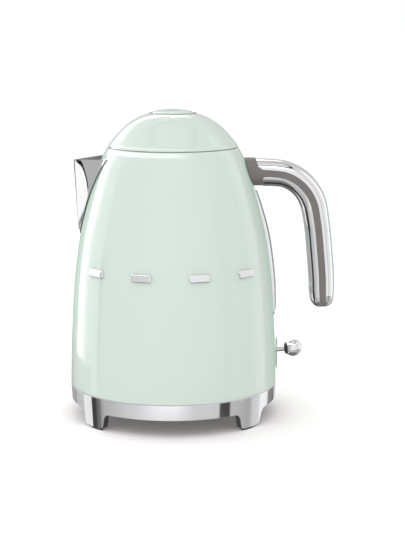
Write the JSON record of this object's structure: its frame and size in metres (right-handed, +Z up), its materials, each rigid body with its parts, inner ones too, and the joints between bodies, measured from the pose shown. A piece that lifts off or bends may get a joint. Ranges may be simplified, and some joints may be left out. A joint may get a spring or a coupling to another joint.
{
  "type": "electric kettle",
  "caption": "Retro electric jug kettle with a domed push-button lid, chrome V spout, hooked chrome handle, ball-ended lever switch and a round chrome power base.",
  "frame": {"origin": "centre of the whole object's footprint on the table, at table height (bottom centre of its box)", "axes": "+Z up, +X towards the handle, -X towards the spout, +Y to the back as the kettle is seen with its handle on the right"},
  "size_m": [0.2151, 0.168, 0.248],
  "materials": {
    "painted": "gloss",
    "chrome": "polished",
    "steel": "brushed",
    "grey_plastic": "satin",
    "white_plastic": "matte",
    "dark_plastic": "matte",
    "rubber": "matte",
    "silicone": "matte",
    "clear": "clear"
  },
  "bodies": {
    "power_base": {"base_ring": "chrome", "base_top": "dark_plastic", "base_socket": "dark_plastic", "base_underside": "dark_plastic", "cord_inlet": "grey_plastic", "foot_pad_1": "rubber", "foot_pad_2": "rubber", "foot_pad_3": "rubber", "foot_pad_4": "rubber", "base_screw_1": "steel", "base_screw_2": "steel", "base_screw_3": "steel"},
    "connector": {"jug_connector": "dark_plastic"},
    "jug": {"body_shell": "painted", "spout": "chrome", "neck_ring": "white_plastic", "heating_plate": "steel", "heating_element": "steel", "plate_seal": "silicone", "control_unit": "white_plastic", "steam_tube": "white_plastic", "jug_underside": "dark_plastic", "jug_screw_1": "steel", "jug_screw_2": "steel", "jug_screw_3": "steel", "window_frame": "chrome", "water_window": "clear", "window_gasket": "silicone", "handle_bracket": "grey_plastic", "handle_core": "grey_plastic", "handle_outer_shell": "chrome", "handle_inner_shell": "chrome", "handle_screw_1": "steel", "handle_screw_2": "steel", "switch_plate": "steel", "switch_pin": "steel", "lever_bracket": "steel", "hinge_pin": "steel", "lid_spring": "steel", "emblem_1": "chrome", "emblem_2": "chrome", "emblem_3": "chrome", "emblem_4": "chrome"},
    "filter": {"spout_filter_frame": "white_plastic", "spout_filter_mesh": "steel"},
    "switch": {"switch_lever": "steel", "switch_ball": "chrome"},
    "trip": {"trip_rod": "white_plastic"},
    "lid": {"lid_dome": "painted", "lid_liner": "white_plastic", "lid_seal": "silicone", "button_bezel": "chrome", "button_spring": "steel"},
    "button": {"lid_button": "painted"},
    "latch": {"lid_latch": "steel"}
  },
  "joints": [
    {"name": "jug_lift", "type": "slide", "parent": "power_base", "child": "connector", "axis": [0, 0, 1], "range_m": [0, 0.12]},
    {"name": "jug_swivel", "type": "hinge", "parent": "connector", "child": "jug", "pos_m": [-0.02355, 0, 0.03], "axis": [0, 0, 1], "continuous": true},
    {"name": "filter_slide", "type": "slide", "parent": "jug", "child": "filter", "axis": [1, 0, 0], "range_m": [0, 0.008]},
    {"name": "switch_turn", "type": "hinge", "parent": "jug", "child": "switch", "pos_m": [0.04245, 0, 0.049], "axis": [0, 1, 0], "range_deg": [0, 16]},
    {"name": "trip_slide", "type": "slide", "parent": "jug", "child": "trip", "axis": [0, 0, 1], "range_m": [0, 0.0036]},
    {"name": "lid_hinge", "type": "hinge", "parent": "jug", "child": "lid", "pos_m": [0.02435, 0, 0.2193], "axis": [0, 1, 0], "range_deg": [0, 75]},
    {"name": "button_press", "type": "slide", "parent": "lid", "child": "button", "axis": [0, 0, -1], "range_m": [0, 0.004], "stiffness_N_per_m": 300, "springref_m": -0.003, "deforming": ["button_spring"]},
    {"name": "latch_slide", "type": "slide", "parent": "lid", "child": "latch", "axis": [1, 0, 0], "range_m": [0, 0.003]}
  ],
  "couplings": [
    {"joint": "trip_slide", "follows": "switch_turn", "m_per_rad": 0.0127},
    {"joint": "latch_slide", "follows": "button_press", "ratio": 0.75}
  ]
}
